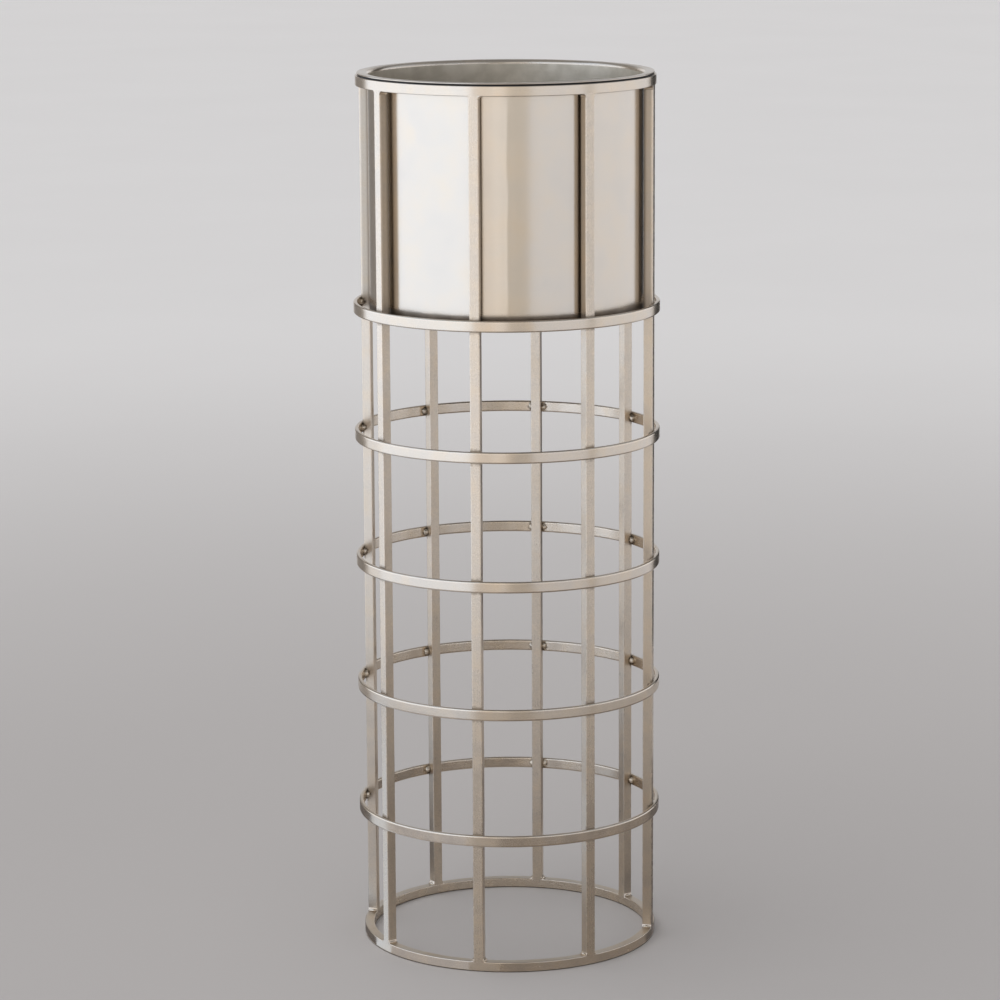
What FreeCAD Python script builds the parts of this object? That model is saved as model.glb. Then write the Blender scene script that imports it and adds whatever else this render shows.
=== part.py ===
import FreeCAD, Part

import math
import os

# A tall round cage of eight square bars, two end rings and five flat hoops, all welded together, with a
# metal pot that hangs by its rim in the top bay and lifts out.
# Millimetres, +Z up. The origin is the centre of the circle that the base ring stands on.
# One bar faces -Y and the others follow it every 45 degrees. Hoops count upwards from the floor.

Vector = FreeCAD.Vector

# Whole object
overall_height = 914.0
bar_count = 8
hoop_count = 5

# Cage: square bar, rolled for the two rings and straight for the uprights
cage_radius = 154.6          # outer face of both rings, and the hoops' inner face
bar_width = 10.5             # across an upright, round the cage
bar_depth = 9.8              # through the cage wall, the same for the rings
ring_height = 10.2
bar_edge_round = 0.8

# Hoops: flat strip rolled round the outside of the uprights
hoop_thickness = 4.3
hoop_height = 11.6
hoop_edge_round = 1.6
first_hoop_bottom = 134.5
hoop_pitch = 133.0

# Welds
hoop_bead_radius = 2.6       # a round bead on each side of a bar, against the hoop's inner face
hoop_bead_offset = 0.8       # how far its centre stands off both faces
ring_weld_leg = 3.0          # a fillet on each side of a bar's end, against the ring

# Pot
sheet = 1.3
pot_radius = 142.3           # outside of the wall
pot_bottom = 665.0
pot_corner_radius = 6.0      # outside of the turned-up edge of the floor
rim_radius = 152.9           # outer edge of the turned-out rim
rim_bend_radius = 3.9        # upper side of the bend between wall and rim

# Gasket under the pot's rim
gasket_thickness = 1.5
gasket_inner_radius = 146.0
gasket_outer_radius = 151.9

# Worked-out places
ring_inner_radius = cage_radius - bar_depth
rim_underside = overall_height - sheet
top_ring_top = rim_underside - gasket_thickness
top_ring_bottom = top_ring_top - ring_height
# The flat outer face of an upright lies just inside the hoops, so that its two edges meet them.
bar_face_radius = math.sqrt(cage_radius**2 - (bar_width / 2) ** 2)
bar_centre_radius = bar_face_radius - bar_depth / 2
pot_inner_radius = pot_radius - sheet
floor_edge_top = pot_bottom + pot_corner_radius


def polar(radius, degrees, z=0.0):
    """A point at a radius and an angle round the Z axis."""
    angle = math.radians(degrees)
    return Vector(radius * math.cos(angle), radius * math.sin(angle), z)


def bar_angle(index):
    """The direction in which an upright stands: the first faces -Y."""
    return -90.0 + index * 360.0 / bar_count


def rounded_ring(inner_radius, outer_radius, bottom, height, edge_round):
    """A rolled bar closed into a ring, with its four edges rounded."""
    outside = Part.makeCylinder(outer_radius, height, Vector(0, 0, bottom))
    inside = Part.makeCylinder(inner_radius, height, Vector(0, 0, bottom))
    ring = outside.cut(inside)
    round_edges = [edge for edge in ring.Edges if isinstance(edge.Curve, Part.Circle)]
    return ring.makeFillet(edge_round, round_edges)


def revolved(outline):
    """A solid of revolution about Z from a closed outline of edges in the XZ plane."""
    face = Part.Face(Part.Wire(outline))
    return face.revolve(Vector(0, 0, 0), Vector(0, 0, 1), 360)


def line(start, end):
    """A straight edge between two (radius, height) points."""
    return Part.LineSegment(Vector(start[0], 0, start[1]), Vector(end[0], 0, end[1])).toShape()


def arc(centre, radius, start_degrees, end_degrees):
    """An arc in the XZ plane about a (radius, height) centre, given its two end angles."""
    points = []
    for degrees in (start_degrees, (start_degrees + end_degrees) / 2, end_degrees):
        angle = math.radians(degrees)
        points.append(Vector(centre[0] + radius * math.cos(angle), 0, centre[1] + radius * math.sin(angle)))
    return Part.Arc(*points).toShape()


def base_ring():
    return rounded_ring(ring_inner_radius, cage_radius, 0, ring_height, bar_edge_round)


def top_ring():
    return rounded_ring(ring_inner_radius, cage_radius, top_ring_bottom, ring_height, bar_edge_round)


def hoop_bottom(index):
    return first_hoop_bottom + index * hoop_pitch


def hoop(index):
    outer_radius = cage_radius + hoop_thickness
    return rounded_ring(cage_radius, outer_radius, hoop_bottom(index), hoop_height, hoop_edge_round)


def bar(index):
    """An upright that stands on the base ring and reaches the underside of the top ring."""
    length = top_ring_bottom - ring_height
    corner = Vector(bar_centre_radius - bar_depth / 2, -bar_width / 2, ring_height)
    upright = Part.makeBox(bar_depth, bar_width, length, corner)
    long_edges = [edge for edge in upright.Edges if abs(edge.Length - length) < 1e-6]
    upright = upright.makeFillet(bar_edge_round, long_edges)
    upright.rotate(Vector(0, 0, 0), Vector(0, 0, 1), bar_angle(index))
    return upright


def ring_weld(index, side, ring_face, upwards):
    """A hollow-faced fillet in the corner between one side of a bar and the face of a ring."""
    length = bar_depth - 2 * bar_edge_round
    start = bar_centre_radius - length / 2
    foot = side * bar_width / 2
    corner = Vector(start, foot, ring_face)
    along_ring = Vector(start, foot + side * ring_weld_leg, ring_face)
    along_bar = Vector(start, foot, ring_face + upwards * ring_weld_leg)
    centre = Vector(start, foot + side * ring_weld_leg, ring_face + upwards * ring_weld_leg)
    inward = Vector(0, -side, -upwards).normalize()
    hollow = Part.Arc(along_ring, centre + inward * ring_weld_leg, along_bar).toShape()
    sides = [Part.LineSegment(along_bar, corner).toShape(), Part.LineSegment(corner, along_ring).toShape()]
    weld = Part.Face(Part.Wire([hollow] + sides)).extrude(Vector(length, 0, 0))
    weld.rotate(Vector(0, 0, 0), Vector(0, 0, 1), bar_angle(index))
    return weld


def ring_welds(ring_face, upwards):
    """The fillets on both sides of every bar's end."""
    welds = []
    for index in range(bar_count):
        for side in (-1, 1):
            welds.append(ring_weld(index, side, ring_face, upwards))
    return Part.makeCompound(welds)


def hoop_welds(index):
    """The round beads that hold one hoop to both sides of every bar."""
    height = hoop_bottom(index) + hoop_height / 2
    band = hoop(index)
    sideways = bar_width / 2 + hoop_bead_offset
    outwards = cage_radius - hoop_bead_offset
    beads = []
    for bar_index in range(bar_count):
        upright = bar(bar_index)
        for side in (-1, 1):
            bead = Part.makeSphere(hoop_bead_radius, Vector(outwards, side * sideways, height))
            bead.rotate(Vector(0, 0, 0), Vector(0, 0, 1), bar_angle(bar_index))
            beads.append(bead.cut(upright).cut(band).Solids[0])
    return Part.makeCompound(beads)


def pot_wall():
    """The rolled wall, turned outwards at the top into the rim that hangs on the top ring."""
    bend_centre = (pot_inner_radius + rim_bend_radius, overall_height - rim_bend_radius)
    edge_centre = (rim_radius - sheet / 2, overall_height - sheet / 2)
    lower_bend = rim_bend_radius - sheet
    outline = [
        line((pot_inner_radius, floor_edge_top), (pot_inner_radius, bend_centre[1])),
        arc(bend_centre, rim_bend_radius, 180, 90),
        line((bend_centre[0], overall_height), (edge_centre[0], overall_height)),
        arc(edge_centre, sheet / 2, 90, -90),
        line((edge_centre[0], rim_underside), (bend_centre[0], rim_underside)),
        arc(bend_centre, lower_bend, 90, 180),
        line((pot_radius, bend_centre[1]), (pot_radius, floor_edge_top)),
        line((pot_radius, floor_edge_top), (pot_inner_radius, floor_edge_top)),
    ]
    return revolved(outline)


def pot_floor():
    """The pressed floor, whose turned-up edge is welded to the wall's lower end and ground flush."""
    corner_centre = (pot_radius - pot_corner_radius, floor_edge_top)
    inner_corner = pot_corner_radius - sheet
    outline = [
        line((0, pot_bottom), (corner_centre[0], pot_bottom)),
        arc(corner_centre, pot_corner_radius, -90, 0),
        line((pot_radius, floor_edge_top), (pot_inner_radius, floor_edge_top)),
        arc(corner_centre, inner_corner, 0, -90),
        line((corner_centre[0], pot_bottom + sheet), (0, pot_bottom + sheet)),
        line((0, pot_bottom + sheet), (0, pot_bottom)),
    ]
    return revolved(outline)


def rim_gasket():
    """The thin dark strip stuck under the rim, which rests on the top ring."""
    outside = Part.makeCylinder(gasket_outer_radius, gasket_thickness, Vector(0, 0, top_ring_top))
    inside = Part.makeCylinder(gasket_inner_radius, gasket_thickness, Vector(0, 0, top_ring_top))
    return outside.cut(inside)


def all_nodes():
    nodes = {
        "base_ring": base_ring(),
        "top_ring": top_ring(),
        "base_ring_welds": ring_welds(ring_height, 1),
        "top_ring_welds": ring_welds(top_ring_bottom, -1),
        "pot_wall": pot_wall(),
        "pot_floor": pot_floor(),
        "rim_gasket": rim_gasket(),
    }
    for index in range(bar_count):
        nodes[f"bar_{index + 1}"] = bar(index)
    for index in range(hoop_count):
        nodes[f"hoop_{index + 1}"] = hoop(index)
        nodes[f"hoop_{index + 1}_welds"] = hoop_welds(index)
    return nodes


os.makedirs("parts", exist_ok=True)
for name, shape in all_nodes().items():
    shape.exportStep(f"parts/{name}.step")
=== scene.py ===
import math

import bpy
from mathutils import Matrix, Vector, noise


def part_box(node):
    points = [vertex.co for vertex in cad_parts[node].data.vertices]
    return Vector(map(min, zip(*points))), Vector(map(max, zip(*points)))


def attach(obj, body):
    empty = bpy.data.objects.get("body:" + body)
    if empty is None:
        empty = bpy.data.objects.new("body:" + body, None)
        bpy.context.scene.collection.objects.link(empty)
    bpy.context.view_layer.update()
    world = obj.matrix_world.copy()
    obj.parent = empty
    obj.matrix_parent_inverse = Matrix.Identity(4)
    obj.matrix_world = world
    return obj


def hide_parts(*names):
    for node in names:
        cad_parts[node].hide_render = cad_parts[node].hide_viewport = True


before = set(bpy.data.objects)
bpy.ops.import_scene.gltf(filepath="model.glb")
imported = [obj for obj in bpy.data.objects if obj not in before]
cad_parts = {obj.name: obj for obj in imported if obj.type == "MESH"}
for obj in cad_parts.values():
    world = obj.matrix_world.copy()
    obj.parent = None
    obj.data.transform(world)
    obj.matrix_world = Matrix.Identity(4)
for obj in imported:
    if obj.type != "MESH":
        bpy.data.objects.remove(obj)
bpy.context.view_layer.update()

# A tall welded cage of square bars, rings and hoops in warm brushed nickel, with a metal pot that hangs by
# its rim in the top bay. Metres, in the row's frame: +Z up, the axis of the cage at x = y = 0.

MM = 0.001


# ---------------------------------------------------------------- sizes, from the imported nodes

def smallest_reach(node):
    """Outer radius of a round node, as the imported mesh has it."""
    low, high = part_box(node)
    return min(-low.x, -low.y, high.x, high.y)


BAR_COUNT = 8
HOOP_COUNT = 5
STEP_ANGLE = 2 * math.pi / BAR_COUNT

base_low, base_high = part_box("base_ring")
top_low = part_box("top_ring")[0]
bar_low, bar_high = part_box("bar_1")
hoop_lows = [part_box(f"hoop_{i + 1}")[0].z for i in range(HOOP_COUNT)]
hoop_highs = [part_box(f"hoop_{i + 1}")[1].z for i in range(HOOP_COUNT)]
gasket_low, gasket_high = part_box("rim_gasket")
floor_low, floor_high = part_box("pot_floor")

CAGE_R = smallest_reach("base_ring")
HOOP_R = smallest_reach("hoop_1")
RING_H = base_high.z - base_low.z
BAR_W = bar_high.x - bar_low.x
BAR_D = bar_high.y - bar_low.y
BAR_FACE_R = -bar_low.y
HOOP_H = hoop_highs[0] - hoop_lows[0]
HOOP_MIDS = [(a + b) / 2 for a, b in zip(hoop_lows, hoop_highs)]
HOOP_PITCH = HOOP_MIDS[1] - HOOP_MIDS[0]
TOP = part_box("pot_wall")[1].z
RIM_R = smallest_reach("pot_wall")
POT_R = smallest_reach("pot_floor")
POT_BOTTOM = floor_low.z
POT_CORNER = floor_high.z - floor_low.z   # outer radius of the turned-up edge of the pot's floor

# Sizes that no box gives; part.py uses the same ones.
SHEET = 1.3 * MM            # thickness of the pot's sheet
RIM_BEND = 3.9 * MM         # outer radius of the bend from the pot's wall into its rim
GASKET_INNER = 146.0 * MM   # inner radius of the gasket
RING_EDGE = 0.8 * MM        # rounding along the corners of rings and uprights
HOOP_EDGE = 1.6 * MM        # rounding along the corners of the hoops


# ---------------------------------------------------------------- mesh helpers

UP = Vector((0, 0, 1))


def make_object(name, vertices, faces, smooth=True):
    mesh = bpy.data.meshes.new(name)
    mesh.from_pydata([tuple(v) for v in vertices], [], faces)
    mesh.validate()
    mesh.update()
    for polygon in mesh.polygons:
        polygon.use_smooth = smooth
    obj = bpy.data.objects.new(name, mesh)
    bpy.context.scene.collection.objects.link(obj)
    return obj


def rounded_section(width, height, radius, arc_steps=5, hold=0.5 * MM):
    """Outline of a rounded rectangle about its centre, counter-clockwise.

    Each flat side has a point in its middle and one close to each arc, so that it shades flat."""
    points = []
    corners = ((1, -1, -90), (1, 1, 0), (-1, 1, 90), (-1, -1, 180))
    for sx, sy, start in corners:
        cx = sx * (width / 2 - radius)
        cy = sy * (height / 2 - radius)
        for k in range(arc_steps + 1):
            angle = math.radians(start + 90 * k / arc_steps)
            points.append((cx + radius * math.cos(angle), cy + radius * math.sin(angle)))
    held = []
    for i, point in enumerate(points):
        following = points[(i + 1) % len(points)]
        held.append(point)
        if i % (arc_steps + 1) != arc_steps:
            continue
        run = Vector(following) - Vector(point)
        if run.length < 3 * hold:
            continue
        unit = run.normalized()
        held += [tuple(Vector(point) + unit * stop) for stop in (hold, run.length / 2, run.length - hold)]
    return held


def revolve(name, outline, segments=360, closed=True, shift=None, discs=False):
    """A surface of revolution from (radius, height) points. shift(angle, radius, height) moves each point.

    discs closes an open outline at the axis with a flat disc at its start, facing down, and at its end."""
    count = len(outline)
    vertices, faces = [], []
    for s in range(segments):
        angle = 2 * math.pi * s / segments
        for radius, height in outline:
            if shift:
                radius, height = shift(angle, radius, height)
            vertices.append((radius * math.cos(angle), radius * math.sin(angle), height))
    last = count if closed else count - 1
    for s in range(segments):
        a = s * count
        b = ((s + 1) % segments) * count
        for i in range(last):
            j = (i + 1) % count
            faces.append((a + i, b + i, b + j, a + j))
    if discs:
        faces.append(tuple(reversed(range(0, segments * count, count))))
        faces.append(tuple(range(count - 1, segments * count, count)))
    return make_object(name, vertices, faces)


def bar_frame(index):
    """Unit vectors of an upright: outwards along the cage's radius, and sideways, counter-clockwise."""
    angle = -math.pi / 2 + index * STEP_ANGLE
    outwards = Vector((math.cos(angle), math.sin(angle), 0))
    return outwards, Vector((-outwards.y, outwards.x, 0))


def loft(loops):
    """A closed skin through loops of equally many points, as vertices and faces."""
    count = len(loops[0])
    vertices = [point for loop in loops for point in loop]
    faces = []
    for k in range(len(loops) - 1):
        a, b = k * count, (k + 1) * count
        for i in range(count):
            j = (i + 1) % count
            faces.append((a + i, a + j, b + j, b + i))
    faces.append(tuple(reversed(range(count))))
    faces.append(tuple(range((len(loops) - 1) * count, len(loops) * count)))
    return vertices, faces


# ---------------------------------------------------------------- material helpers

class Nodes:
    """A short way to write node trees. reach is a point's distance from the cage's axis."""

    def __init__(self, name):
        self.material = bpy.data.materials.new(name)
        self.material.use_nodes = True
        self.tree = self.material.node_tree
        self.tree.nodes.clear()
        self.output = self.tree.nodes.new("ShaderNodeOutputMaterial")
        self.shader = self.tree.nodes.new("ShaderNodeBsdfPrincipled")
        self.tree.links.new(self.shader.outputs[0], self.output.inputs[0])
        coordinates = self.tree.nodes.new("ShaderNodeTexCoord")
        self.position = coordinates.outputs["Object"]
        self.x, self.y, self.z = self.xyz(self.position)
        square_x, square_y = (self.math("MULTIPLY", v, v) for v in (self.x, self.y))
        self.reach = self.math("SQRT", self.math("ADD", square_x, square_y))

    def link(self, value, socket):
        if isinstance(value, bpy.types.NodeSocket):
            self.tree.links.new(value, socket)
        else:
            socket.default_value = value

    def math(self, operation, a, b=0.0, c=0.0):
        node = self.tree.nodes.new("ShaderNodeMath")
        node.operation = operation
        for value, socket in zip((a, b, c), node.inputs):
            self.link(value, socket)
        return node.outputs[0]

    def xyz(self, vector):
        node = self.tree.nodes.new("ShaderNodeSeparateXYZ")
        self.link(vector, node.inputs[0])
        return node.outputs

    def combine(self, x, y, z):
        node = self.tree.nodes.new("ShaderNodeCombineXYZ")
        for value, socket in zip((x, y, z), node.inputs):
            self.link(value, socket)
        return node.outputs[0]

    def noise(self, vector, scale, detail=3.0, roughness=0.55, distortion=0.0):
        node = self.tree.nodes.new("ShaderNodeTexNoise")
        self.link(vector, node.inputs["Vector"])
        node.inputs["Scale"].default_value = scale
        node.inputs["Detail"].default_value = detail
        node.inputs["Roughness"].default_value = roughness
        node.inputs["Distortion"].default_value = distortion
        return node.outputs["Fac"]

    def ramp(self, value, low, high, out_low=0.0, out_high=1.0):
        """Maps low..high smoothly to out_low..out_high."""
        node = self.tree.nodes.new("ShaderNodeMapRange")
        node.interpolation_type = "SMOOTHSTEP"
        for setting, socket in zip((value, low, high, out_low, out_high), node.inputs):
            self.link(setting, socket)
        return node.outputs[0]

    def mix(self, factor, a, b, blend="MIX"):
        node = self.tree.nodes.new("ShaderNodeMix")
        node.data_type = "RGBA"
        node.blend_type = blend
        self.link(factor, node.inputs[0])
        self.link(a, node.inputs[6])
        self.link(b, node.inputs[7])
        return node.outputs[2]

    def bump(self, height, distance, strength=1.0, below=None):
        node = self.tree.nodes.new("ShaderNodeBump")
        node.inputs["Strength"].default_value = strength
        node.inputs["Distance"].default_value = distance
        self.link(height, node.inputs["Height"])
        if below is not None:
            self.link(below, node.inputs["Normal"])
        return node.outputs[0]


def grain_vector(n, along, across, kind):
    """Coordinates that stretch noise into brushed grain: up the bar for an upright, else round the cage."""
    if kind == "upright":
        return n.combine(n.math("MULTIPLY", n.x, across), n.math("MULTIPLY", n.y, across),
                         n.math("MULTIPLY", n.z, along))
    fine = n.math("MULTIPLY", n.math("ADD", n.z, n.reach), across)
    return n.combine(n.math("MULTIPLY", n.x, along), n.math("MULTIPLY", n.y, along), fine)


def ragged(n, distance, scale, spread, detail=3.0, edge=0.25):
    """A distance with noise of plus or minus spread on it, so that a band's border isn't a clean line."""
    offset = n.ramp(n.noise(n.position, scale, detail), edge, 1 - edge, -spread, spread)
    return n.math("ADD", distance, offset)


def hoop_offset(n):
    """Height above the middle of the nearest hoop."""
    level = n.math("DIVIDE", n.math("SUBTRACT", n.z, HOOP_MIDS[0]), HOOP_PITCH)
    level = n.math("MINIMUM", n.math("MAXIMUM", n.math("ROUND", level), 0.0), HOOP_COUNT - 1.0)
    return n.math("SUBTRACT", n.z, n.math("MULTIPLY_ADD", level, HOOP_PITCH, HOOP_MIDS[0]))


def corner_distance(n):
    """Distance in metres to the nearest welded corner between an upright's side and a hoop's inner face."""
    turn = n.math("MULTIPLY", n.math("ARCTAN2", n.y, n.x), BAR_COUNT / (2 * math.pi))
    # One upright stands at -90 degrees, a whole number of steps from zero.
    from_bar = n.math("SUBTRACT", turn, n.math("ROUND", turn))
    sideways = n.math("MULTIPLY", n.math("ABSOLUTE", n.math("MULTIPLY", from_bar, STEP_ANGLE)), n.reach)
    off_side = n.math("SUBTRACT", sideways, BAR_W / 2)
    off_hoop = n.math("SUBTRACT", n.reach, CAGE_R)
    squares = [n.math("MULTIPLY", v, v) for v in (off_side, off_hoop, hoop_offset(n))]
    return n.math("SQRT", n.math("ADD", n.math("ADD", squares[0], squares[1]), squares[2]))


def facing(n):
    """How far the surface faces up or down, the axis, and sideways, each 0 to 1."""
    geometry = n.tree.nodes.new("ShaderNodeNewGeometry")
    nx, ny, nz = n.xyz(geometry.outputs["Normal"])
    outwards = n.math("ADD", n.math("MULTIPLY", nx, n.x), n.math("MULTIPLY", ny, n.y))
    inwards = n.math("DIVIDE", outwards, n.math("MULTIPLY", n.reach, -1.0))
    tilt = n.math("ABSOLUTE", nz)
    upright_side = n.ramp(n.math("ADD", n.math("ABSOLUTE", inwards), tilt), 0.25, 0.6, 1.0, 0.0)
    return n.ramp(tilt, 0.6, 0.95), n.ramp(inwards, 0.5, 0.9), upright_side


NICKEL = (0.655, 0.56, 0.45, 1)
PATINA_AND_SHADE = (0.075, 0.05, 0.03, 1)   # the brown of heat tint and tarnishing, also used for painted shade
DULL_SHADE_UP, DULL_SHADE_SIDE, DULL_SHADE_INNER = 0.8, 0.35, 0.2   # how much duller each sort of face is beside a polished one, and how far painted shade darkens it
ACROSS_THE_GRAIN = 0.25           # the highlight stretches across the grain: a quarter of a turn


def nickel(name, kind, base=NICKEL, roughness=0.3, speckle=0.08, grain=0.06, wave=0.04 * MM,
           line_depth=0.004 * MM, spot_depth=0.0, weld_patina=True, anisotropy=0.0, mottle_scale=60.0,
           unevenness=1.0, tarnish_and_shade=None):
    """Brushed, plated metal: stretched grain, fine speckle, soft waves in the surface, and brown corners.

    The faces inside the cage and on the edges of the strip are duller, and their colour is darker as painted
    shade.
    speckle and grain are how far the spots and the grain change the tone, and wave, line_depth and
    spot_depth are how deep the waves, grain lines and spots are. unevenness is how far roughness varies."""
    n = Nodes(name)
    n.shader.inputs["Metallic"].default_value = 1.0
    n.shader.inputs["Anisotropic"].default_value = anisotropy
    n.shader.inputs["Anisotropic Rotation"].default_value = ACROSS_THE_GRAIN
    lines = n.noise(grain_vector(n, 25.0, 900.0, kind), 1.0, 4.0, 0.6)
    fine_lines = n.noise(grain_vector(n, 90.0, 2600.0, kind), 1.0, 3.0, 0.6)
    spots = n.noise(n.position, 750.0, 3.0, 0.6)
    clouds = n.noise(n.position, mottle_scale, 4.0, 0.55)
    waves = n.noise(grain_vector(n, 12.0, 30.0, kind), 1.0, 1.0, 0.5)

    tone = n.math("MULTIPLY_ADD", lines, grain, 1.0 - grain / 2)
    tone = n.math("MULTIPLY", tone, n.ramp(spots, 0.3, 0.7, 1.0 - speckle, 1.0 + speckle))
    tone = n.math("MULTIPLY", tone, n.ramp(clouds, 0.25, 0.75, 0.95, 1.05))
    level, inner, side = facing(n)
    # The mask below makes faces that point up or down, inwards or sideways rougher, and darkens their colour
    # as painted shade.
    dull_and_shade = n.math("MAXIMUM", n.math("MULTIPLY", level, DULL_SHADE_UP), n.math("MULTIPLY", side, DULL_SHADE_SIDE))
    dull_and_shade = n.math("MAXIMUM", dull_and_shade, n.math("MULTIPLY", inner, DULL_SHADE_INNER))
    tone = n.math("MULTIPLY", tone, n.math("MULTIPLY_ADD", dull_and_shade, -0.24, 1.0))
    warmer = (base[0] * 0.98, base[1] * 0.94, base[2] * 0.88, 1)
    warm = n.mix(n.ramp(clouds, 0.35, 0.8), base, warmer)
    colour = n.mix(1.0, warm, n.combine(tone, tone, tone), "MULTIPLY")
    patchy = n.ramp(clouds, 0.3, 0.7, roughness - 0.03 * unevenness, roughness + 0.04 * unevenness)
    rough = n.math("ADD", patchy, n.ramp(lines, 0.25, 0.75, -0.03 * unevenness, 0.03 * unevenness))
    rough = n.math("MULTIPLY_ADD", dull_and_shade, 0.12, rough)
    if weld_patina:
        edge = ragged(n, corner_distance(n), 420.0, 1.6 * MM, edge=0.2)
        dark = n.ramp(edge, 2.6 * MM, 6.2 * MM, 0.85, 0.0)
        # The hoops' outer faces were dressed after welding.
        dark = n.math("MULTIPLY", dark, n.ramp(n.reach, CAGE_R + 0.6 * MM, CAGE_R + 2.0 * MM, 1.0, 0.0))
        colour = n.mix(dark, colour, PATINA_AND_SHADE)
        rough = n.math("MULTIPLY_ADD", dark, 0.25, rough)
    # Brown from the function given: painted shade on the uprights and along the base ring's foot, and a
    # darker band round the pot's foot.
    if tarnish_and_shade:
        stain_and_shade = tarnish_and_shade(n)
        colour = n.mix(stain_and_shade, colour, PATINA_AND_SHADE)
        rough = n.math("MULTIPLY_ADD", stain_and_shade, 0.3, rough)
    n.link(colour, n.shader.inputs["Base Color"])
    n.link(rough, n.shader.inputs["Roughness"])
    normal = n.bump(waves, wave)
    normal = n.bump(fine_lines, line_depth, 1.0, normal)
    if spot_depth:
        normal = n.bump(spots, spot_depth, 1.0, normal)
    n.link(normal, n.shader.inputs["Normal"])
    return n.material


def hoop_painted_shadow(n):
    """A thin brown painted shadow on the uprights' outer faces, just above and below each hoop."""
    height = ragged(n, n.math("ABSOLUTE", hoop_offset(n)), 350.0, 1.2 * MM)
    close = n.ramp(height, HOOP_H / 2, HOOP_H / 2 + 4.0 * MM, 0.45, 0.0)
    return n.math("MULTIPLY", close, n.ramp(n.reach, CAGE_R - 3.0 * MM, CAGE_R - 0.8 * MM))


def upright_painted_shade(n):
    """Painted shade on the uprights: on their inner parts in the gap beside the pot, and along the hoops."""
    deep = n.ramp(n.reach, CAGE_R - 9.6 * MM, CAGE_R - 6.0 * MM, 0.65, 0.30)
    deep = n.math("MULTIPLY", deep, n.ramp(n.reach, CAGE_R - 3.0 * MM, CAGE_R - 1.0 * MM, 1.0, 0.0))
    beside_pot = n.math("MULTIPLY", deep, n.ramp(n.z, POT_BOTTOM - 4 * MM, POT_BOTTOM + 6 * MM))
    return n.math("MAXIMUM", beside_pot, hoop_painted_shadow(n))


def floor_contact_shade(n):
    """Painted contact shade along the lower edges of the base ring, where it meets the floor."""
    return n.ramp(n.z, 0.3 * MM, 1.5 * MM, 0.9, 0.0)


def pot_foot(n):
    """A darker, duller band round the foot of the pot, level with the top hoop."""
    height = ragged(n, n.z, 60.0, 0.8 * MM, detail=2.0)
    return n.ramp(height, POT_BOTTOM + 10 * MM, POT_BOTTOM + 18 * MM, 0.85, 0.0)


bar_metal = nickel("bar_metal", "upright", roughness=0.27, speckle=0.07, grain=0.03, unevenness=0.5,
                   line_depth=0.001 * MM, spot_depth=0.003 * MM, tarnish_and_shade=upright_painted_shade)
ring_metal = nickel("ring_metal", "round", roughness=0.24, speckle=0.02, grain=0.05, weld_patina=False,
                    anisotropy=0.55, line_depth=0.0008 * MM, unevenness=0.6, tarnish_and_shade=floor_contact_shade)
hoop_metal = nickel("hoop_metal", "round", roughness=0.23, speckle=0.015, grain=0.06, anisotropy=0.55,
                    line_depth=0.0008 * MM, unevenness=0.6)
pot_metal = nickel("pot_metal", "round", roughness=0.25, speckle=0.0, grain=0.02, weld_patina=False,
                   anisotropy=0.65, mottle_scale=25.0, unevenness=0.3, line_depth=0.0003 * MM,
                   wave=0.02 * MM, base=(0.66, 0.58, 0.482, 1), tarnish_and_shade=pot_foot)
weld_metal = nickel("weld_metal", "round", roughness=0.38, speckle=0.12, grain=0.0, weld_patina=False,
                    base=(0.69, 0.595, 0.473, 1), spot_depth=0.02 * MM)


def pot_lining():
    """The pot's unpolished inside: matt, mottled grey-brown plate."""
    n = Nodes("pot_lining")
    n.shader.inputs["Metallic"].default_value = 1.0
    clouds = n.noise(n.position, 55.0, 4.0, 0.5, 0.3)
    stains = n.noise(n.position, 14.0, 5.0, 0.6, 1.0)
    spots = n.noise(n.position, 700.0, 3.0, 0.6)
    colour = n.mix(n.ramp(clouds, 0.3, 0.7), (0.60, 0.53, 0.42, 1), (0.68, 0.605, 0.49, 1))
    colour = n.mix(n.ramp(stains, 0.5, 0.75, 0.0, 0.4), colour, (0.45, 0.385, 0.29, 1))
    # Painted shade: darker towards the cage's left, seen from the front.
    across = n.math("MULTIPLY_ADD", n.y, 0.21, n.math("MULTIPLY", n.x, 0.98))
    colour = n.mix(n.ramp(across, -0.12, 0.02, 0.7, 0.0), colour, (0.38, 0.33, 0.26, 1))
    n.link(colour, n.shader.inputs["Base Color"])
    n.link(n.ramp(clouds, 0.3, 0.7, 0.62, 0.46), n.shader.inputs["Roughness"])
    normal = n.bump(clouds, 0.3 * MM, 0.5)
    n.link(n.bump(spots, 0.03 * MM, 1.0, normal), n.shader.inputs["Normal"])
    return n.material


def black_rubber():
    n = Nodes("black_rubber")
    grains = n.noise(n.position, 900.0, 3.0)
    clouds = n.noise(n.position, 90.0, 3.0)
    n.link(n.mix(n.ramp(clouds, 0.3, 0.7), (0.004, 0.004, 0.004, 1), (0.010, 0.009, 0.009, 1)),
           n.shader.inputs["Base Color"])
    n.link(n.ramp(grains, 0.3, 0.7, 0.6, 0.8), n.shader.inputs["Roughness"])
    n.link(n.bump(grains, 0.05 * MM), n.shader.inputs["Normal"])
    return n.material


lining = pot_lining()
rubber = black_rubber()


def place(obj, node, body, slot, *materials):
    """The piece stands for one CAD node, rides on its body and takes the materials given; slot is not used.
    """
    for material in materials:
        obj.data.materials.append(material)
    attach(obj, body)
    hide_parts(node)
    return obj


# ---------------------------------------------------------------- rings and hoops

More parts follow.
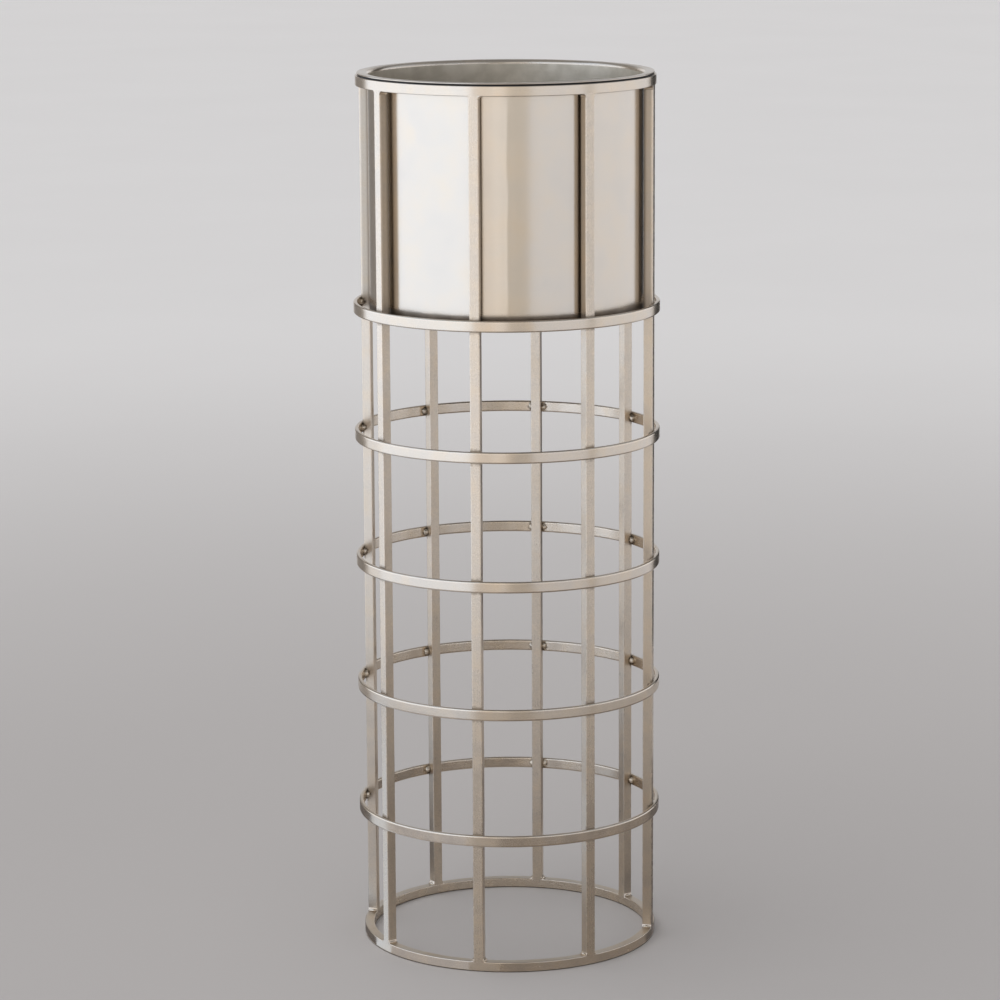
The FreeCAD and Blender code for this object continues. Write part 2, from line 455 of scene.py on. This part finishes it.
def round_bar(name, node, inner, outer, bottom, height, edge, slot, metal, seed=0, run_out=0.0):
    """A rolled bar closed into a ring. Rolling and welding leave the hoops a hair out of true."""
    section = rounded_section(outer - inner, height, edge)
    middle = ((outer + inner) / 2, bottom + height / 2)
    outline = [(middle[0] + u, middle[1] + v) for u, v in section]

    def out_of_true(angle, radius, z):
        p = Vector((math.cos(angle) * 1.6, math.sin(angle) * 1.6, seed))
        return radius - run_out * (0.5 + 0.5 * noise.noise(p)), z

    obj = revolve(name, outline, shift=out_of_true)
    return place(obj, node, "cage", slot, metal)


RING_INNER = CAGE_R - BAR_D
for name, node, bottom in (("floor_ring", "base_ring", base_low.z), ("upper_ring", "top_ring", top_low.z)):
    round_bar(name, node, RING_INNER, CAGE_R, bottom, RING_H, RING_EDGE, "cage_bar", ring_metal)
for i in range(HOOP_COUNT):
    round_bar(f"flat_hoop_{i + 1}", f"hoop_{i + 1}", CAGE_R, HOOP_R, hoop_lows[i], HOOP_H, HOOP_EDGE,
              "cage_hoop", hoop_metal, seed=3.0 + i, run_out=0.10 * MM)


# ---------------------------------------------------------------- uprights

FLUSH = 12 * MM          # the length over which an upright's outer face takes the ring's curve
OVERLAP = 3.0 * MM       # how far it runs into the ring


def upright(index):
    """A square bar whose outer face runs flush into both rings, as if the joint had been ground."""
    outwards, sideways = bar_frame(index)
    section = rounded_section(BAR_D, BAR_W, RING_EDGE, 4, 0.4 * MM)
    low, high = base_high.z, top_low.z
    centre_r = BAR_FACE_R - BAR_D / 2
    steps = 110
    near_ring = (-OVERLAP, 0.2 * MM - OVERLAP, -1.6 * MM, -0.8 * MM, 0, 1.5 * MM, 3 * MM, 5 * MM)
    heights = [low + d for d in near_ring]
    heights += [low + (high - low) * k / steps for k in range(1, steps)]
    heights += [high - d for d in reversed(near_ring)]
    loops = []
    for z in heights:
        free = min(z - low, high - z)
        drift_out = 0.10 * MM * noise.noise(Vector((z * 9, index * 7.3, 0)))
        drift_side = 0.15 * MM * noise.noise(Vector((z * 7, index * 5.1, 9)))
        swell = 1 + 0.012 * noise.noise(Vector((z * 40, index * 3.7, 4)))
        curve = 1 - min(1.0, max(0.0, free / FLUSH))
        curve = curve * curve * (3 - 2 * curve)
        sink = 0.07 * MM * max(0.0, -free - RING_EDGE) / (OVERLAP - RING_EDGE)
        loop = []
        for u, v in section:
            reach = centre_r + min(u * swell + drift_out, BAR_D / 2)
            across = v * swell + drift_side
            follow = math.sqrt(CAGE_R ** 2 - across ** 2) - BAR_FACE_R + 0.01 * MM
            if u > 0:
                reach += curve * (follow + centre_r + u - reach) - sink
            loop.append(outwards * reach + sideways * across + UP * z)
        loops.append(loop)
    vertices, faces = loft(loops)
    obj = make_object(f"upright_{index + 1}", vertices, faces)
    return place(obj, f"bar_{index + 1}", "cage", "cage_bar", bar_metal)


for i in range(BAR_COUNT):
    upright(i)


# ---------------------------------------------------------------- welds

def join(name, parts):
    """One mesh from many (vertices, faces) parts."""
    vertices, faces = [], []
    for part_vertices, part_faces in parts:
        start = len(vertices)
        vertices += part_vertices
        faces += [tuple(start + i for i in face) for face in part_faces]
    return make_object(name, vertices, faces)


def random_at(*seeds):
    """A repeatable number between -1 and 1."""
    return noise.noise(Vector([s * 12.9898 + 0.37 for s in (list(seeds) + [0, 0])[:3]])) * 1.6


def ring_fillet(index, side, ring_face, upwards, seed):
    """A hollow-faced fillet between an upright's side and a ring, dressed flush with the outer faces."""
    outwards, sideways = bar_frame(index)
    tall = 3.0 * MM * (1.15 + 0.25 * random_at(index, side, seed))
    wide = 3.0 * MM * (1.0 + 0.15 * random_at(index, side, seed + 5))
    inside = 1.2 * MM                 # how far it runs into the upright and the ring
    arc_steps = 7
    depth = BAR_D - 0.2 * MM
    face_r = CAGE_R - 0.02 * MM
    # Sections from the outer face inwards: distance in from it, and how far the section is drawn in.
    slices = ((0, 0.45 * MM), (0.12 * MM, 0.2 * MM), (0.45 * MM, 0), (0.5 * MM, 0),
              (depth - 0.45 * MM, 0), (depth - 0.12 * MM, 0.2 * MM), (depth, 0.45 * MM))
    rings = []
    for reach_in, shrink in slices:
        outline = [(-inside, -inside), (wide, -inside)]
        for k in range(arc_steps + 1):
            angle = math.pi / 2 * k / arc_steps
            drawn_in = shrink * math.cos(math.pi / 4 - angle) * 0.7
            t = wide * (1 - math.sin(angle)) - drawn_in
            h = tall * (1 - math.cos(angle)) - drawn_in
            outline.append((max(t, -inside), max(h, -inside)))
        outline.append((-inside, tall))
        ring = []
        for t, h in outline:
            across = side * (BAR_W / 2 + t)
            reach = math.sqrt((face_r - reach_in) ** 2 - across ** 2)
            ring.append(outwards * reach + sideways * across + UP * (ring_face + upwards * h))
        rings.append(ring)
    return loft(rings)


def bead(centre, radii, axes, seed, lobes=0.28, rows=10, columns=16):
    """A lump of weld metal: an uneven ball with its own axes."""
    vertices, faces = [], []
    for r in range(rows + 1):
        polar = math.pi * r / rows
        ring_count = 1 if r in (0, rows) else columns
        for c in range(ring_count):
            turn = 2 * math.pi * c / columns
            d = Vector((math.sin(polar) * math.cos(turn), math.sin(polar) * math.sin(turn), math.cos(polar)))
            swell = 1 + lobes * noise.noise(d * 1.5 + Vector((seed * 3.1, seed, 0)))
            steps = [axis * (size * amount * swell) for axis, size, amount in zip(axes, radii, d)]
            vertices.append(centre + sum(steps, Vector()))
    for c in range(columns):
        following = (c + 1) % columns
        faces.append((0, 1 + c, 1 + following))
        for r in range(rows - 2):
            a, b = 1 + r * columns, 1 + (r + 1) * columns
            faces.append((a + c, b + c, b + following, a + following))
        a = 1 + (rows - 2) * columns
        faces.append((a + following, a + c, len(vertices) - 1))
    return vertices, faces


def ring_welds(name, node, ring_face, upwards, beads):
    """Fillets on both sides of each upright's end, with a bead in each at the base ring."""
    parts = []
    for i in range(BAR_COUNT):
        outwards, sideways = bar_frame(i)
        for side in (-1, 1):
            parts.append(ring_fillet(i, side, ring_face, upwards, 1 if beads else 2))
            if not beads:
                continue
            across = sideways * side * (BAR_W / 2 + 1.1 * MM)
            centre = outwards * (CAGE_R - BAR_D * 0.52) + across + UP * (ring_face + upwards * 1.2 * MM)
            radii = (4.0 * MM, 1.35 * MM, 1.35 * MM)
            parts.append(bead(centre, radii, (outwards, sideways, UP), i * 2 + side + 20))
    obj = join(name, parts)
    return place(obj, node, "cage", "weld", ring_metal)


ring_welds("floor_ring_joints", "base_ring_welds", base_high.z, 1, True)
ring_welds("upper_ring_joints", "top_ring_welds", top_low.z, -1, False)

for level in range(HOOP_COUNT):
    parts = []
    for i in range(BAR_COUNT):
        outwards, sideways = bar_frame(i)
        for side in (-1, 1):
            seed = level * 31 + i * 3 + side
            drop = 0.7 * MM * random_at(seed, 3)
            size = 2.8 * MM * (0.97 + 0.1 * random_at(seed, 8))
            centre = (outwards * (CAGE_R - 0.8 * MM) + sideways * side * (BAR_W / 2 + 1.2 * MM)
                      + UP * (HOOP_MIDS[level] + drop))
            radii = (size * 1.05, size * 1.2, size * 1.2)
            parts.append(bead(centre, radii, (outwards, sideways, UP), seed))
    obj = join(f"hoop_{level + 1}_nuggets", parts)
    place(obj, f"hoop_{level + 1}_welds", "cage", "weld", weld_metal)


# ---------------------------------------------------------------- pot

POT_INNER = POT_R - SHEET


def arc_points(centre, radius, start, end, steps):
    points = []
    for k in range(steps + 1):
        angle = math.radians(start + (end - start) * k / steps)
        points.append((centre[0] + radius * math.cos(angle), centre[1] + radius * math.sin(angle)))
    return points


def straight(start, end, steps):
    """Points between two ends, ends left out."""
    a, b = Vector(start), Vector(end)
    return [tuple(a.lerp(b, k / steps)) for k in range(1, steps)]


SEAM_ANGLE = math.radians(-77.4)      # in the bay to the right of the front upright
SEAM_HEIGHT = 0.12 * MM
SEAM_WIDTH = 2.6 * MM
FLATS_LEAN = 0.25                     # turn of the flats per metre of height
FLATS_UPRIGHT_AT = 0.79


def rolled_sheet(angle, radius, z):
    """The rolled wall isn't a perfect cylinder: shallow flats run up it, and a ground seam.

    Its ends stay true."""
    below_rim = max(0.0, (TOP - 9 * MM - z) / (25 * MM))
    above_floor = max(0.0, (z - POT_BOTTOM - POT_CORNER) / (20 * MM))
    held = min(1.0, below_rim, above_floor)
    around = angle + (z - FLATS_UPRIGHT_AT) * FLATS_LEAN
    p = Vector((math.cos(around) * 3.2, math.sin(around) * 3.2, z * 0.8))
    q = Vector((math.cos(around) * 9.0, math.sin(around) * 9.0, z * 2.0 + 5))
    dent = 0.16 * MM * noise.noise(p) + 0.05 * MM * noise.noise(q)
    wander = 2.0 * MM * noise.noise(Vector((z * 22, 3.0, 1.0)))
    wander += 0.9 * MM * noise.noise(Vector((z * 70, 6.0, 2.0)))
    off_seam = ((angle - SEAM_ANGLE + math.pi) % (2 * math.pi) - math.pi) * POT_R + wander
    seam = SEAM_HEIGHT * math.exp(-(off_seam / SEAM_WIDTH) ** 2)
    return radius + held * (dent + seam), z


def pot_wall():
    """The wall and its turned-out rim, with the unpolished lining on the inside up to the bend."""
    bend = (POT_INNER + RIM_BEND, TOP - RIM_BEND)
    edge = (RIM_R - SHEET / 2, TOP - SHEET / 2)
    low = floor_high.z
    outline = [(POT_INNER, low)]
    outline += straight((POT_INNER, low), (POT_INNER, bend[1]), 24)
    outline += arc_points(bend, RIM_BEND, 180, 90, 9)
    outline += straight((bend[0], TOP), (edge[0], TOP), 4)
    outline += arc_points(edge, SHEET / 2, 90, -90, 6)
    outline += straight((edge[0], TOP - SHEET), (bend[0], TOP - SHEET), 3)
    outline += arc_points(bend, RIM_BEND - SHEET, 90, 180, 6)
    outline += straight((POT_R, bend[1]), (POT_R, low), 24)
    outline.append((POT_R, low))
    obj = revolve("pot_shell", list(reversed(outline)), 720, shift=rolled_sheet)
    place(obj, "pot_wall", "pot", "pot_sheet", pot_metal, lining)
    for polygon in obj.data.polygons:
        c = polygon.center
        if math.hypot(c.x, c.y) < POT_INNER + 0.4 * MM and c.z < bend[1]:
            polygon.material_index = 1


def pot_base():
    """The pressed floor with its turned-up edge, lined on the inside."""
    centre = (POT_R - POT_CORNER, floor_high.z)
    inner = POT_CORNER - SHEET
    outline = straight((0, POT_BOTTOM), (centre[0], POT_BOTTOM), 12)
    outline += arc_points(centre, POT_CORNER, -90, 0, 8)
    outline += arc_points(centre, inner, 0, -90, 8)
    outline += straight((centre[0], POT_BOTTOM + SHEET), (0, POT_BOTTOM + SHEET), 12)
    obj = revolve("pot_base", outline, closed=False, discs=True)
    place(obj, "pot_floor", "pot", "pot_sheet", pot_metal, lining)
    for polygon in obj.data.polygons:
        if polygon.normal.z > 0.2:
            polygon.material_index = 1


def rim_strip():
    """The black strip between the rim and the top ring."""
    outer = smallest_reach("rim_gasket")
    section = rounded_section(outer - GASKET_INNER, gasket_high.z - gasket_low.z, 0.35 * MM, 3, 0.3 * MM)
    middle = ((outer + GASKET_INNER) / 2, (gasket_low.z + gasket_high.z) / 2)
    obj = revolve("rim_strip", [(middle[0] + u, middle[1] + v) for u, v in section], 240)
    place(obj, "rim_gasket", "pot", "gasket", rubber)


pot_wall()
pot_base()
rim_strip()


# ---------------------------------------------------------------- floor, light and camera

def pale_floor():
    """A plain matte floor, with painted shade: a little deeper in tone round the object, paler far off."""
    n = Nodes("pale_floor")
    clouds = n.noise(n.position, 1.3, 4.0)
    colour = n.mix(n.ramp(n.reach, 0.5, 4.5), (0.575, 0.548, 0.536, 1), (0.90, 0.88, 0.87, 1))
    colour = n.mix(n.ramp(clouds, 0.3, 0.7, 0.0, 0.02), colour, (0.36, 0.34, 0.32, 1))
    n.link(colour, n.shader.inputs["Base Color"])
    n.shader.inputs["Specular IOR Level"].default_value = 0.0
    n.shader.inputs["Roughness"].default_value = 0.6
    return n.material


FLOOR_HALF = 40.0
FLOOR_DROP = 0.1 * MM     # keeps the floor clear of the base ring's underside
corner_signs = ((-1, -1), (1, -1), (1, 1), (-1, 1))
floor_corners = [(sx * FLOOR_HALF, sy * FLOOR_HALF, -FLOOR_DROP) for sx, sy in corner_signs]
floor = make_object("studio_floor", floor_corners, [(0, 1, 2, 3)])
floor.data.materials.append(pale_floor())

CAMERA_TURN = math.radians(12.14)     # the camera stands this far to the right of the upright that faces -Y
CAMERA_DISTANCE = 3.8719
CAMERA_HEIGHT = 1.22822


def towards(turn_degrees, distance, height):
    """A point at an angle round the object from the camera's side, positive to the picture's right."""
    angle = CAMERA_TURN + math.radians(turn_degrees)
    return Vector((distance * math.sin(angle), -distance * math.cos(angle), height))


def arc_of_panels(name, start, end, count, distance, bottom, top, glow):
    """Soft upright panels side by side on an arc round the object, facing it.

    They only show in the metal: the camera doesn't see them and they leave no edge on the floor."""
    half = math.radians(end - start) / count / 2
    width = 2 * distance * math.tan(half)
    for i in range(count):
        light = bpy.data.lights.new(f"{name}_{i + 1}", "AREA")
        light.shape = "RECTANGLE"
        light.size = width
        light.size_y = top - bottom
        strength = max(glow)
        light.energy = strength * math.pi * width * (top - bottom)
        light.color = [channel / strength for channel in glow]
        obj = bpy.data.objects.new(light.name, light)
        obj.location = towards(start + (end - start) * (i + 0.5) / count, distance, (bottom + top) / 2)
        inwards = Vector((-obj.location.x, -obj.location.y, 0))
        obj.rotation_euler = inwards.to_track_quat("-Z", "Y").to_euler()
        obj.visible_camera = False
        obj.visible_diffuse = False
        bpy.context.scene.collection.objects.link(obj)


# Name, start and end in degrees, count, distance, bottom, top, glow.
arc_of_panels("window", -106, -24, 4, 1.2, 0.02, 2.4, (0.65, 0.82, 1.10))
arc_of_panels("window_end", -126, -106, 1, 1.2, 0.40, 2.4, (0.65, 0.82, 1.10))
arc_of_panels("window_sill", -126, -106, 1, 1.2, 0.02, 0.40, (0.46, 0.55, 0.69))
arc_of_panels("curtain_fold", -24, -11, 1, 1.6, 0.02, 2.4, (0.33, 0.313, 0.308))
arc_of_panels("curtain", -11, 0, 1, 1.6, 0.02, 2.4, (0.44, 0.45, 0.48))
arc_of_panels("room", 0, 18, 1, 4.5, 0.02, 3.0, (0.10, 0.085, 0.055))
arc_of_panels("wall_right", 18, 60, 2, 1.4, 0.02, 2.4, (0.235, 0.295, 0.41))
arc_of_panels("wall_back_right", 66, 134, 3, 1.4, 0.02, 2.4, (0.26, 0.315, 0.42))


def flag_cloth(name, tone):
    n = Nodes(name)
    n.shader.inputs["Roughness"].default_value = 0.9
    threads = n.noise(n.position, 400.0, 2.0)
    thin = [tone * shade for shade in (1.1, 1.05, 1.0)] + [1]
    thick = [tone * shade for shade in (0.9, 0.86, 0.82)] + [1]
    n.link(n.mix(threads, thin, thick), n.shader.inputs["Base Color"])
    return n.material


def show_in_metal_only(obj):
    obj.visible_camera = False
    obj.visible_diffuse = False
    obj.visible_shadow = False
    obj.visible_transmission = False


def dark_flag(name, start, end, distance, height, cloth):
    """A cloth flag that only shows in the metal, as dark edges on its sides."""
    corners = [towards(start, distance, 0.02), towards(end, distance, 0.02), towards(end, distance, height),
               towards(start, distance, height)]
    flag = make_object(name, corners, [(0, 1, 2, 3)], smooth=False)
    flag.data.materials.append(cloth)
    show_in_metal_only(flag)


dark_flag("flag_left", -158, -130, 1.3, 1.6, flag_cloth("grey_cloth", 0.48))
dark_flag("flag_right", 138, 160, 1.3, 1.6, flag_cloth("black_cloth", 0.03))


def floor_sheen(name, start, end, reach, glow):
    """Light or shade on the floor that only shows in the metal, as if a varnished floor mirrored the room.

    The cage's face at an angle from the camera's side mirrors what lies in the direction of twice that angle,
    so each patch spreads outwards from the cage's foot along those lines."""
    steps = round((end - start) / 2)
    angles = [start + (end - start) * i / steps for i in range(steps + 1)]
    foot = [towards(angle, CAGE_R + 0.5 * MM, 1 * MM) for angle in angles]
    far = [point + towards(2 * angle, reach, 0) for point, angle in zip(foot, angles)]
    faces = [(i, i + 1, steps + i + 2, steps + i + 1) for i in range(steps)]
    sheen = make_object(name, foot + far, faces, smooth=False)
    n = Nodes(name)
    n.shader.inputs["Base Color"].default_value = (0, 0, 0, 1)
    n.shader.inputs["Specular IOR Level"].default_value = 0.0
    n.shader.inputs["Emission Color"].default_value = (*glow, 1)
    n.shader.inputs["Emission Strength"].default_value = 1.0
    sheen.data.materials.append(n.material)
    show_in_metal_only(sheen)


# Name, start and end of the faces that mirror it in degrees, reach, glow.
floor_sheen("sheen_far_left", -90, -66, 1.0, (0.14, 0.13, 0.13))
floor_sheen("sheen_window", -66, -54, 1.0, (0.80, 0.92, 1.12))
floor_sheen("sheen_left", -54, -16, 1.0, (0.50, 0.51, 0.56))
floor_sheen("sheen_right", -4, 68, 0.7, (0.25, 0.23, 0.22))
floor_sheen("sheen_flag", 68, 80, 0.7, (0.12, 0.11, 0.11))
floor_sheen("sheen_far_right", 80, 90, 0.7, (0.20, 0.19, 0.20))

sun = bpy.data.lights.new("soft_overhead", "SUN")
sun.angle = math.radians(70)
sun.energy = 1.25
overhead = bpy.data.objects.new("soft_overhead", sun)
overhead.rotation_euler = (math.radians(8), math.radians(-20), 0)
overhead.visible_glossy = False
bpy.context.scene.collection.objects.link(overhead)


def studio_world():
    """A pale sky, brightest near the horizon, that lights the object.

    What the camera itself sees behind the floor is as light as the far floor, so the two run together."""
    world = bpy.data.worlds.new("studio")
    world.use_nodes = True
    nodes, links = world.node_tree.nodes, world.node_tree.links
    sky = nodes["Background"]
    sky.inputs["Color"].default_value = (1.0, 1.01, 1.04, 1)
    split = nodes.new("ShaderNodeSeparateXYZ")
    links.new(nodes.new("ShaderNodeTexCoord").outputs["Generated"], split.inputs[0])
    fade = nodes.new("ShaderNodeMapRange")
    fade.interpolation_type = "SMOOTHSTEP"
    near_horizon, high_up = (0.1, 0.95), (0.5, 0.3)     # height of the direction, strength
    for key, value in zip((1, 2, 3, 4), (near_horizon[0], high_up[0], near_horizon[1], high_up[1])):
        fade.inputs[key].default_value = value
    links.new(split.outputs[2], fade.inputs[0])
    links.new(fade.outputs[0], sky.inputs["Strength"])
    backdrop = nodes.new("ShaderNodeBackground")
    backdrop.inputs["Color"].default_value = (0.655, 0.645, 0.64, 1)
    seen = nodes.new("ShaderNodeMixShader")
    links.new(nodes.new("ShaderNodeLightPath").outputs["Is Camera Ray"], seen.inputs[0])
    links.new(sky.outputs[0], seen.inputs[1])
    links.new(backdrop.outputs[0], seen.inputs[2])
    links.new(seen.outputs[0], nodes["World Output"].inputs["Surface"])
    return world


bpy.context.scene.world = studio_world()

camera_data = bpy.data.cameras.new("camera")
camera_data.lens = 135.66
camera_data.sensor_width = 36.0
camera_data.clip_start = 0.1
camera_data.clip_end = 200.0
camera = bpy.data.objects.new("camera", camera_data)
bpy.context.scene.collection.objects.link(camera)
pitch, roll, yaw = 0.19440, -0.005385, -0.0020986     # radians, fitted to the photograph with the lens
view = Vector((math.sin(yaw) * math.cos(pitch), math.cos(yaw) * math.cos(pitch), -math.sin(pitch)))
right = view.cross(UP).normalized()
above = right.cross(view)
rolled_right = right * math.cos(roll) + above * math.sin(roll)
rolled_above = above * math.cos(roll) - right * math.sin(roll)
looking = Matrix((rolled_right, rolled_above, -view)).transposed().to_4x4()
camera.matrix_world = (Matrix.Rotation(CAMERA_TURN, 4, "Z")
                       @ Matrix.Translation((0, -CAMERA_DISTANCE, CAMERA_HEIGHT)) @ looking)
bpy.context.scene.camera = camera
bpy.context.scene.view_settings.view_transform = "Standard"
